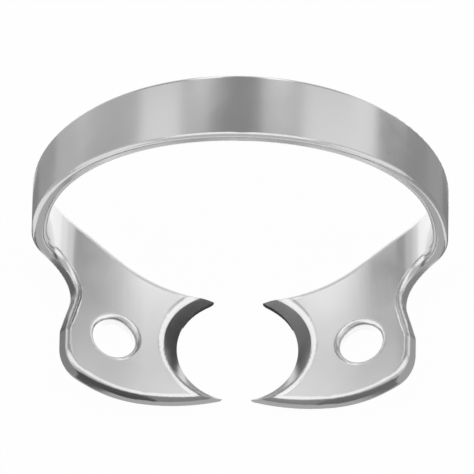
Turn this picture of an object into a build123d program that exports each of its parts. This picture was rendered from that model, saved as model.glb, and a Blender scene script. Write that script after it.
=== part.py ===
"""Wingless rubber dam clamp for a premolar: one piece of spring steel sheet, stamped
out flat, bent into a bow and two jaws, and polished. Millimetres.

The origin is on the axis of the tooth that the jaws grip, at the level of the prong
tips. +Z runs up the tooth to its crown, +Y runs back to the bow, and the jaws face
each other along X. Both sides are alike, so the right half is made and mirrored.
"""

from build123d import *
import os
from math import asin, atan, cos, degrees, hypot, radians, sin, sqrt, tan

# Sheet and polish
sheet = 0.95  # thickness of the spring steel
outer_round = 0.25  # polished radius along the edges of the bow's outside and the jaw's underside
inner_round = 0.42  # the same along the bow's inside and the jaw's upper side
bevel_round = 0.75  # the same along the top of the grip's bevel

# Bow, the spring arch behind the tooth
bow_radius = 12.5  # outside, half of the clamp's overall width
bow_back = 8.05  # from the tooth axis to the bow's back edge
crown_width = 4.4  # width of the band at the top of the bow
side_width = 3.6  # width of the band at its two sides

# Bends and jaws, seen from the front
bend_radius = 3.25  # inside radius where the bow turns in to the jaws
root_slope = 20.0  # degrees that a jaw falls towards the tooth, at the bend
tip_slope = 4.0  # the same at the front prongs

# Prongs and grip
prong_gap = 1.52  # from the tooth axis to a jaw's back prong tip
front_gap = 1.04  # the same to its front prong tip
prong_spread = 3.32  # from the tooth axis to a back prong tip, along Y
grip_land = 0.16  # height of the plain edge under the bevel
bevel_angle = 44.0  # degrees between the bevel and the tooth axis

# Outline of a jaw, drawn square to the sheet at the bend
trim_tilt = 40.0  # degrees that the drawing plane leans from level
jaw_front = 4.27  # from the tooth axis to the jaw's front edge, along Y
neck_inset = 0.88  # depth of the neck inside the middle of the bend
notch_radius = 2.2  # hollow between the bow's front edge and the neck
flare_angle = 16.0  # degrees that the neck widens towards the heel
corner_radius = 1.0
heel_length = 1.05  # straight part of the heel
heel_radius = 2.1
heel_turn = 60.0
belly_radius = 7.4  # from the heel to the jaw's front edge
back_swing = 1.706  # swing of the back edge: 1 is straight from bow to prong, 2 is all arcs
shoulder_share = 0.45  # part of the back edge's rounding that lies next to the bow

# Forceps holes
hole_radius = 1.3
hole_round = 0.36  # polished radius of its upper rim
hole_place = 0.475  # share of the way from the bevel out to the heel
hole_offset = -0.26  # from the tooth axis to the hole, along Y

# Front profile: bow, bend and jaw are arcs that run into each other
mid_bow = bow_radius - sheet / 2
mid_bend = bend_radius + sheet / 2
bend_x = mid_bow - mid_bend
root = radians(root_slope)
tip = radians(tip_slope)
root_x = bend_x + mid_bend * sin(root)
jaw_radius = (root_x - front_gap) / (sin(root) - sin(tip))
end_x = front_gap * 0.2
end_slope = asin(sin(tip) - (front_gap - end_x) / jaw_radius)
bow_z = mid_bend * cos(root) + jaw_radius * (cos(tip) - cos(root)) + sheet / 2 * cos(tip)
bow_top = bow_z + bow_radius
band_front = bow_back - side_width
crown_front = bow_back - crown_width


def jaw_slope(x):
    """Slope of the jaw at a distance x from the tooth axis."""
    return asin(sin(root) - (root_x - x) / jaw_radius)


def jaw_height(x):
    """Height of the middle of the sheet there."""
    return sheet / 2 * cos(tip) + jaw_radius * (cos(tip) - cos(jaw_slope(x)))


with BuildPart() as strip:
    with BuildSketch(Plane((0, bow_back, 0), x_dir=(1, 0, 0), z_dir=(0, -1, 0))):
        with BuildLine():
            bow = JernArc((0, bow_z + mid_bow), (1, 0), mid_bow, -90)
            bend = JernArc(bow @ 1, bow % 1, mid_bend, root_slope - 90)
            JernArc(bend @ 1, bend % 1, jaw_radius, degrees(end_slope) - root_slope)
        trace(line_width=sheet)
    extrude(amount=2.5 * bow_back)

# Outline of the half: the jaw with its neck, heel and prongs, then the bow from the side
tilt = radians(trim_tilt)
trim_plane = Plane((bend_x, 0, bow_z), x_dir=(cos(tilt), 0, sin(tilt)), z_dir=(-sin(tilt), 0, cos(tilt)))
seam = bend_radius * cos(tilt)
past_seam = seam + 2 * sheet
past_tips = -bend_x * cos(tilt) - bow_z * sin(tilt) + prong_gap / 2
front_tip = (front_gap - bend_x) * cos(tilt) - bow_z * sin(tilt)
grip_radius = hypot(prong_gap, prong_spread)
front_spread = sqrt(grip_radius**2 - front_gap**2)
jaw_end = past_tips - 2 * prong_gap

# The back edge is an S: an arc, a straight line and an arc back, from bow to prong
back_run = seam - past_tips
back_fall = bow_back - prong_spread
slant = back_swing * atan(back_fall / back_run)
back_slant = degrees(slant)
both_radii = (back_run - back_fall / tan(slant)) / tan(slant / 2)
back_length = (back_fall - both_radii * (1 - cos(slant))) / sin(slant)
shoulder_radius = both_radii * shoulder_share
hollow_radius = both_radii * (1 - shoulder_share)

# The flank of the neck takes up what is left from the bow's front edge to the jaw's
flare = radians(flare_angle)
turn = radians(heel_turn)
notch_drop = notch_radius * (1 + sin(flare))
heel_drop = corner_radius * sin(flare) + heel_length + heel_radius * sin(turn)
belly_drop = belly_radius * (1 - sin(turn))
flank_length = (band_front + jaw_front - notch_drop - heel_drop - belly_drop) / cos(flare)

with BuildPart() as outline:
    with BuildSketch(trim_plane):
        with BuildLine():
            shoulder = JernArc((seam, bow_back), (-1, 0), shoulder_radius, back_slant)
            back = PolarLine(shoulder @ 1, back_length, direction=shoulder % 1)
            hollow = JernArc(back @ 1, back % 1, hollow_radius, -back_slant)
            notch_start = (notch_radius - neck_inset, band_front)
            notch = JernArc(notch_start, (-1, 0), notch_radius, 90 + flare_angle)
            flank = PolarLine(notch @ 1, flank_length, direction=notch % 1)
            corner = JernArc(flank @ 1, flank % 1, corner_radius, -flare_angle)
            side = PolarLine(corner @ 1, heel_length, direction=corner % 1)
            heel = JernArc(side @ 1, side % 1, heel_radius, -heel_turn)
            belly = JernArc(heel @ 1, heel % 1, belly_radius, heel_turn - 90)
            front = TangentArc(belly @ 1, (front_tip, -front_spread), tangent=belly % 1)
            front_end = PolarLine(front @ 1, prong_gap, direction=front % 1)
            Polyline(front_end @ 1, (jaw_end, -prong_spread / 2), (jaw_end, prong_spread), hollow @ 1)
            Polyline(notch_start, (past_seam, band_front), (past_seam, bow_back), shoulder @ 0)
        make_face()
    extrude(amount=bow_radius, both=True)
    split(bisect_by=Plane.XY.offset(bow_z), keep=Keep.BOTTOM)
    with BuildSketch(Plane.YZ):
        with BuildLine():
            taper = TangentArc((band_front, bow_z), (crown_front, bow_top), tangent=(0, 1))
            Polyline(
                taper @ 1,
                (crown_front, bow_top + sheet),
                (bow_back + sheet, bow_top + sheet),
                (bow_back + sheet, bow_z),
                taper @ 0,
            )
        make_face()
    extrude(amount=bow_radius + sheet)

# Grip: a round edge about the tooth axis, bevelled from above
grip_slope = jaw_slope(grip_radius)
grip_z = jaw_height(grip_radius) - sheet / 2 / cos(grip_slope) + grip_land
bevel_top = grip_z + 3 * sheet
bevel_run = tan(radians(bevel_angle))
bevel_reach = grip_radius + 3 * sheet * bevel_run
with BuildPart() as gripped:
    add(strip.part)
    with BuildSketch(Plane.XZ):
        with BuildLine():
            Polyline(
                (0, -sheet),
                (grip_radius, -sheet),
                (grip_radius, grip_z),
                (bevel_reach, bevel_top),
                (0, bevel_top),
                close=True,
            )
        make_face()
    revolve(axis=Axis.Z, mode=Mode.SUBTRACT)
    rims = gripped.edges(Select.LAST).filter_by(GeomType.BSPLINE).sort_by(Axis.Z)
    fillet(rims[-1], radius=bevel_round)

# Right half: trim the strip to its outline and round its edges, then pierce it
bevel_rim = grip_radius + sheet * bevel_run
heel_x = bend_x + mid_bend * sin(tilt)
hole_reach = bevel_rim + hole_place * (heel_x - bevel_rim)
hole_slope = jaw_slope(hole_reach)
hole_centre = (hole_reach, hole_offset, jaw_height(hole_reach))
hole_plane = Plane(hole_centre, x_dir=(0, 1, 0), z_dir=(-sin(hole_slope), 0, cos(hole_slope)))


def in_sheet(face):
    """True for a face of the bent sheet, false for a wall or a rounded edge."""
    round_face = face.geom_type == GeomType.CYLINDER and face.radius > sheet
    return round_face and abs(face.axis_of_rotation.direction.Y) > 0.99


def on_inside(face):
    """True for a sheet face on the inside of the bow and bend, which is the jaw's upper side."""
    return face.normal_at().X < 0


with BuildPart() as half:
    add(strip.part)
    add(outline.part, mode=Mode.INTERSECT)
    for reverse, radius in ((False, inner_round), (True, outer_round)):
        sides = half.faces().filter_by(in_sheet)
        ends = half.faces().filter_by(GeomType.PLANE).sort_by(Axis.X)[:2]
        walls = half.faces() - sides - ends
        fillet(sides.filter_by(on_inside, reverse=reverse).edges() & walls.edges(), radius=radius)
    add(gripped.part, mode=Mode.INTERSECT)
    with BuildSketch(hole_plane):
        Circle(hole_radius)
    extrude(amount=2 * sheet, both=True, mode=Mode.SUBTRACT)
    rims = half.edges(Select.LAST).filter_by(GeomType.LINE, reverse=True).sort_by(Axis.Z)
    fillet(rims[-1], radius=hole_round)
    fillet(rims[0], radius=outer_round)

with BuildPart() as clamp:
    add(half.part)
    mirror(about=Plane.YZ)

os.makedirs("parts", exist_ok=True)
clamp.part.label = "clamp"
export_step(clamp.part, "parts/clamp.step")
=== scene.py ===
"""Rubber dam clamp on a white table: satin polished steel under a studio tent.
Metres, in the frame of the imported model."""

from math import cos, radians, sin

import bpy
from mathutils import Matrix, Vector


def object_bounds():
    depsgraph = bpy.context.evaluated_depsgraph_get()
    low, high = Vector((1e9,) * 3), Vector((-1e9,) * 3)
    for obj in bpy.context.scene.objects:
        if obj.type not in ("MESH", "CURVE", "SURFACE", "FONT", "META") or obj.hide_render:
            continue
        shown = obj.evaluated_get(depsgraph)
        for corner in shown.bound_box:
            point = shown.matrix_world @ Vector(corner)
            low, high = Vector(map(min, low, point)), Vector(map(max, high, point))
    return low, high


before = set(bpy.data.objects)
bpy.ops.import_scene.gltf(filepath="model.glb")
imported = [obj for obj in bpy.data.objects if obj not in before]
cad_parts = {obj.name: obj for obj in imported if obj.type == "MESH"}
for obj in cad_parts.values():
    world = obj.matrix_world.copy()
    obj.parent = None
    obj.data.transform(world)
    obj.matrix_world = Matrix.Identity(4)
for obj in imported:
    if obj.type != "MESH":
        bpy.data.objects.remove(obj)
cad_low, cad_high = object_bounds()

MM = 0.001
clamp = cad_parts["clamp"]

# Camera: square on to the jaws, looking down, with the photograph's slight roll
IMAGE_SIZE = 474
PIXELS_PER_MM = 16.64
ELEVATION = radians(57.0)
ROLL = radians(1.2)
LENS = 1200.0
SENSOR = 36.0
ANCHOR = Vector((0, 7.95, 5.786)) * MM
ANCHOR_PIXEL = (240.8, 190.5)

# Steel
STEEL_GREY = 0.70
STEEL_ROUGHNESS = 0.20
LINE_STRENGTH = 0.05
LINE_DEPTH = 0.02 * MM
NOISE_LOW, NOISE_HIGH = 0.3, 0.7  # most noise values lie between these

# Floor and room
FLOOR_SIZE = 4.0
FLOOR_GREY = 0.90
FLOOR_GLOW = 0.97
WORLD_GREY = 0.62

# Places of the cards, in millimetres
CARD_Z = 0.1  # flat cards of painted table shade and light lie, and upright cards stand, just above the table
STRIP_NEAR, STRIP_FAR = 45, 300
STRIP_REACH, STRIP_CENTRE = 150, 8
WEDGE_Y, WEDGE_REACH = 40, 55.5
INNER_WEDGE_Y, INNER_WEDGE_REACH = 39.8, 34
WEDGE_CENTRE = 6
FRONT_Y, FRONT_TOP = -6, 5
ROOM_Y, ROOM_HALF, ROOM_TOP = -150, 800, 600
FIN_X, FIN_TOP = 0.1, 2.6
NEAR_SIDE_X, FAR_SIDE_X = 13, 60
NECK_Y = 9
OVERHEAD_Z = 158


def new_material(name):
    """An empty node material, its node tree and its output."""
    material = bpy.data.materials.new(name)
    material.use_nodes = True
    tree = material.node_tree
    tree.nodes.clear()
    return material, tree, tree.nodes.new("ShaderNodeOutputMaterial")


def noise(tree, scale, detail, stretch):
    """Noise over the object, in metres, with each axis scaled by stretch."""
    place = tree.nodes.new("ShaderNodeTexCoord")
    mapping = tree.nodes.new("ShaderNodeMapping")
    mapping.inputs["Scale"].default_value = stretch
    texture = tree.nodes.new("ShaderNodeTexNoise")
    texture.inputs["Scale"].default_value = scale
    texture.inputs["Detail"].default_value = detail
    tree.links.new(place.outputs["Object"], mapping.inputs["Vector"])
    tree.links.new(mapping.outputs["Vector"], texture.inputs["Vector"])
    return texture.outputs["Fac"]


def remap(tree, value, low, high):
    """A noise value as a value from low to high."""
    node = tree.nodes.new("ShaderNodeMapRange")
    node.inputs["From Min"].default_value = NOISE_LOW
    node.inputs["From Max"].default_value = NOISE_HIGH
    node.inputs["To Min"].default_value = low
    node.inputs["To Max"].default_value = high
    tree.links.new(value, node.inputs["Value"])
    return node.outputs["Result"]


def steel_material():
    """Satin polished steel: cloudy gloss, with fine polishing lines from front to back."""
    material, tree, output = new_material("satin steel")
    shader = tree.nodes.new("ShaderNodeBsdfPrincipled")
    shader.inputs["Metallic"].default_value = 1.0
    clouds = noise(tree, scale=350, detail=4, stretch=(1, 1, 1))
    lines = noise(tree, scale=900, detail=3, stretch=(8, 0.5, 8))
    gloss = remap(tree, clouds, 0.9 * STEEL_ROUGHNESS, 1.15 * STEEL_ROUGHNESS)
    tree.links.new(gloss, shader.inputs["Roughness"])
    tint = tree.nodes.new("ShaderNodeCombineColor")
    grey = remap(tree, clouds, 0.97 * STEEL_GREY, 1.02 * STEEL_GREY)
    for channel in ("Red", "Green", "Blue"):
        tree.links.new(grey, tint.inputs[channel])
    tree.links.new(tint.outputs["Color"], shader.inputs["Base Color"])
    bump = tree.nodes.new("ShaderNodeBump")
    bump.inputs["Strength"].default_value = LINE_STRENGTH
    bump.inputs["Distance"].default_value = LINE_DEPTH
    tree.links.new(lines, bump.inputs["Height"])
    tree.links.new(bump.outputs["Normal"], shader.inputs["Normal"])
    tree.links.new(shader.outputs["BSDF"], output.inputs["Surface"])
    return material


def floor_material():
    """White table: a matte surface under a glow that camera and steel see, so a shadow stays."""
    material, tree, output = new_material("white table")
    matte = tree.nodes.new("ShaderNodeBsdfDiffuse")
    matte.inputs["Color"].default_value = (FLOOR_GREY, FLOOR_GREY, FLOOR_GREY, 1)
    glow = tree.nodes.new("ShaderNodeEmission")
    rays = tree.nodes.new("ShaderNodeLightPath")
    seen = rays.outputs["Is Camera Ray"]
    for ray in ("Is Glossy Ray", "Is Transmission Ray"):
        either = tree.nodes.new("ShaderNodeMath")
        either.operation = "MAXIMUM"
        tree.links.new(seen, either.inputs[0])
        tree.links.new(rays.outputs[ray], either.inputs[1])
        seen = either.outputs["Value"]
    share = tree.nodes.new("ShaderNodeMath")
    share.operation = "MULTIPLY"
    share.inputs[1].default_value = FLOOR_GLOW
    tree.links.new(seen, share.inputs[0])
    mix = tree.nodes.new("ShaderNodeMixShader")
    tree.links.new(share.outputs["Value"], mix.inputs["Fac"])
    tree.links.new(matte.outputs["BSDF"], mix.inputs[1])
    tree.links.new(glow.outputs["Emission"], mix.inputs[2])
    tree.links.new(mix.outputs["Shader"], output.inputs["Surface"])
    return material


def card_material(name, grey):
    """A surface of an even brightness."""
    material, tree, output = new_material(name)
    glow = tree.nodes.new("ShaderNodeEmission")
    glow.inputs["Color"].default_value = (grey, grey, grey, 1)
    tree.links.new(glow.outputs["Emission"], output.inputs["Surface"])
    return material


def panel(name, corners, material):
    """A four-cornered stage piece, with corners in metres."""
    mesh = bpy.data.meshes.new(name)
    mesh.from_pydata([Vector(c) for c in corners], [], [(0, 1, 2, 3)])
    mesh.materials.append(material)
    piece = bpy.data.objects.new(name, mesh)
    bpy.context.scene.collection.objects.link(piece)
    return piece


def card(name, grey, *corners):
    """A card with corners in millimetres that shows in the steel and isn't seen itself."""
    piece = panel(name, [Vector(c) * MM for c in corners], card_material(name, grey))
    piece.visible_camera = False
    piece.visible_diffuse = False
    piece.visible_shadow = False
    return piece


def rectangle(start, end, low, high):
    """Corners of a rectangle, in the order in which a card takes them."""
    return (start, low), (end, low), (end, high), (start, high)


def ring_point(angle, y, reach, centre):
    """A point at an angle in degrees from overhead, round a line along Y."""
    return reach * sin(radians(angle)), y, centre + reach * cos(radians(angle))


def set_camera():
    """Look along the photograph's line of sight, with the anchor point at its pixel."""
    right = Vector((1, 0, 0))
    up = Vector((0, sin(ELEVATION), cos(ELEVATION)))
    back = Vector((0, -cos(ELEVATION), sin(ELEVATION)))
    right, up = right * cos(ROLL) + up * sin(ROLL), up * cos(ROLL) - right * sin(ROLL)
    pixel = MM / PIXELS_PER_MM
    across = (ANCHOR_PIXEL[0] - IMAGE_SIZE / 2) * pixel
    down = (ANCHOR_PIXEL[1] - IMAGE_SIZE / 2) * pixel
    target = ANCHOR - right * across + up * down
    distance = LENS / SENSOR * IMAGE_SIZE * pixel
    data = bpy.data.cameras.new("camera")
    data.lens = LENS
    data.sensor_width = SENSOR
    data.clip_start = 0.1 * distance
    data.clip_end = 10 * distance
    camera = bpy.data.objects.new("camera", data)
    axes = Matrix((right, up, back)).transposed().to_4x4()
    camera.matrix_world = Matrix.Translation(target + back * distance) @ axes
    bpy.context.scene.collection.objects.link(camera)
    bpy.context.scene.camera = camera


def set_world():
    """An even, pale room."""
    world = bpy.data.worlds.new("room")
    bpy.context.scene.world = world
    world.use_nodes = True
    background = world.node_tree.nodes["Background"]
    background.inputs["Color"].default_value = (WORLD_GREY, WORLD_GREY, WORLD_GREY, 1)


def set_floor():
    half = FLOOR_SIZE / 2
    corners = [(x, y, cad_low.z) for x, y in rectangle(-half, half, -half, half)]
    panel("floor", corners, floor_material())


def set_strips():
    """Strips along Y behind and above the clamp, which the bow shows as its bands."""
    for name, start, end, grey in (
        ("dark overhead", -18, 10, 0.30),
        ("grey left", -33, -18, 0.56),
        ("grey right", 10, 33, 0.60),
        ("white left", -57, -33, 0.95),
        ("white right", 33, 78, 0.95),
        ("low left", -95, -57, 0.52),
        ("low right", 78, 95, 0.30),
    ):
        corners = (start, STRIP_NEAR), (end, STRIP_NEAR), (end, STRIP_FAR), (start, STRIP_FAR)
        card(name, grey, *(ring_point(angle, y, STRIP_REACH, STRIP_CENTRE) for angle, y in corners))


def set_wedges():
    """Wedges of a board that the jaws see through the arch of the bow."""
    board = WEDGE_Y, WEDGE_REACH
    inner = INNER_WEDGE_Y, INNER_WEDGE_REACH
    for name, start, end, (y, reach), grey in (
        ("white wedge left", -26.5, -11, board, 1.55),
        ("white wedge right", 11, 25, board, 1.5),
        ("dark wedge left", -58, -26.5, board, 0.26),
        ("dark wedge right", 25, 58, board, 0.32),
        ("inner wedge left", -58, -26.5, inner, 0.75),
        ("inner wedge right", 25, 58, inner, 0.75),
        ("grey wedge left", -80, -58, board, 0.65),
        ("grey wedge right", 58, 80, board, 0.85),
        ("low wedge left", -96, -80, board, 0.85),
        ("low wedge right", 80, 96, board, 1.1),
    ):
        angles = start, (start + end) / 2, end
        rim = (ring_point(angle, y, reach, WEDGE_CENTRE) for angle in angles)
        card(name, grey, (0, y, WEDGE_CENTRE), *rim)


def set_table_shade_and_light_cards():
    """Cards just above the table, beside, in front of, behind and between the jaws, which only the
    steel shows: painted shade of the table where darker than the table's white, painted light where
    brighter.
    """
    # Greys below the table's white are painted table shade, darkest in the gap between the jaws;
    # greys above it are painted table light under the holes and behind the clamp.
    for name, grey, *corners in (
        ("far painted shade left", 0.58, (-220, -20), (-27, -20), (-27, 23.5), (-220, 185)),
        ("far painted shade right", 0.33, (220, -20), (27, -20), (27, 23.5), (220, 185)),
        ("near painted shade left", 0.39, (-27, 8), (-17, 8), (-17, 17), (-27, 23.5)),
        ("near painted shade right", 0.39, (27, -20), (17, -20), (17, 17), (27, 23.5)),
        ("edge painted shade left", 0.25, (-17, 4), (-12.5, 4), (-12.5, 14), (-17, 17)),
        ("edge painted shade right", 0.25, (17, 4), (12.5, 4), (12.5, 14), (17, 17)),
        ("notch painted shade left", 0.52, *rectangle(-14, -9.6, -3.5, 3)),
        ("notch painted shade right", 0.52, *rectangle(14, 9.6, -3.5, 3)),
        ("hole painted light left", 1.3, *rectangle(-9.6, -5, -3.5, 1.5)),
        ("hole painted light right", 1.3, *rectangle(9.6, 5, -3.5, 1.5)),
        ("front painted shade", 0.52, *rectangle(-14, 14, -40, -3.5)),
        ("back painted light", 1.25, (-12.5, 10), (12.5, 10), (40, 42), (-40, 42)),
        ("gap painted shade", 0.06, *rectangle(-3.2, 3.2, 0.3, 3.6)),
        ("prong painted shade", 0.4, *rectangle(-3.2, 3.2, -2.7, -1)),
    ):
        card(name, grey, *((x, y, CARD_Z) for x, y in corners))


def set_cards_across():
    """Upright cards across the view: in front of the jaws, and behind the arch for each neck."""
    neck = (11.5, 7.5), (5.5, 7.5), (5.5, 16), (9.5, 12.8)
    for name, y, grey, *corners in (
        ("front card left", FRONT_Y, 0.08, *rectangle(-12, -4.5, CARD_Z, FRONT_TOP)),
        ("front card middle", FRONT_Y, 0.26, *rectangle(-4.5, 4.5, CARD_Z, FRONT_TOP)),
        ("front card right", FRONT_Y, 0.16, *rectangle(4.5, 12, CARD_Z, FRONT_TOP)),
        ("room front", ROOM_Y, 0.62, *rectangle(-ROOM_HALF, ROOM_HALF, CARD_Z, ROOM_TOP)),
        ("neck card left", NECK_Y, 0.15, *((-x, z) for x, z in neck)),
        ("neck card right", NECK_Y, 0.5, *neck),
    ):
        card(name, grey, *((x, y, z) for x, z in corners))


def set_cards_along():
    """Upright cards along the view: a fin between the jaws, and cards on each side."""
    neck = rectangle(1.3, 4.2, CARD_Z, 4)
    heel = (-7, CARD_Z), (1.3, CARD_Z), (1.3, 4), (-7, 6)
    side = rectangle(-60, 5, 5, 60)
    for name, x, grey, *corners in (
        ("dark fin left", -FIN_X, 0.05, *rectangle(1, 3.1, CARD_Z, FIN_TOP)),
        ("light fin left", -FIN_X, 0.6, *rectangle(3.1, 6, CARD_Z, FIN_TOP)),
        ("grey fin right", FIN_X, 0.18, *rectangle(1, 2.4, CARD_Z, FIN_TOP)),
        ("dark fin right", FIN_X, 0.06, *rectangle(2.4, 3.1, CARD_Z, FIN_TOP)),
        ("light fin right", FIN_X, 0.6, *rectangle(3.1, 6, CARD_Z, FIN_TOP)),
        ("white fin", 0, 1.25, (-8, FIN_TOP), (5.5, FIN_TOP), (5.5, 6), (-8, 18)),
        ("neck side card left", -NEAR_SIDE_X, 0.15, *neck),
        ("heel side card left", -NEAR_SIDE_X, 0.28, *heel),
        ("neck side card right", NEAR_SIDE_X, 0.3, *neck),
        ("heel side card right", NEAR_SIDE_X, 0.45, *heel),
        ("side card left", -FAR_SIDE_X, 1.0, *side),
        ("side card right", FAR_SIDE_X, 1.0, *side),
    ):
        card(name, grey, *((x, y, z) for y, z in corners))


def set_overhead():
    """A bright panel overhead, which also lights the table."""
    corners = rectangle(-120, 120, -55, 40)
    piece = card("overhead", 1.2, *((x, y, OVERHEAD_Z) for x, y in corners))
    piece.visible_diffuse = True


steel = steel_material()
clamp.data.materials.clear()
clamp.data.materials.append(steel)
set_camera()
set_world()
set_floor()
set_strips()
set_wedges()
set_table_shade_and_light_cards()
set_cards_across()
set_cards_along()
set_overhead()
bpy.context.scene.view_settings.view_transform = "Standard"
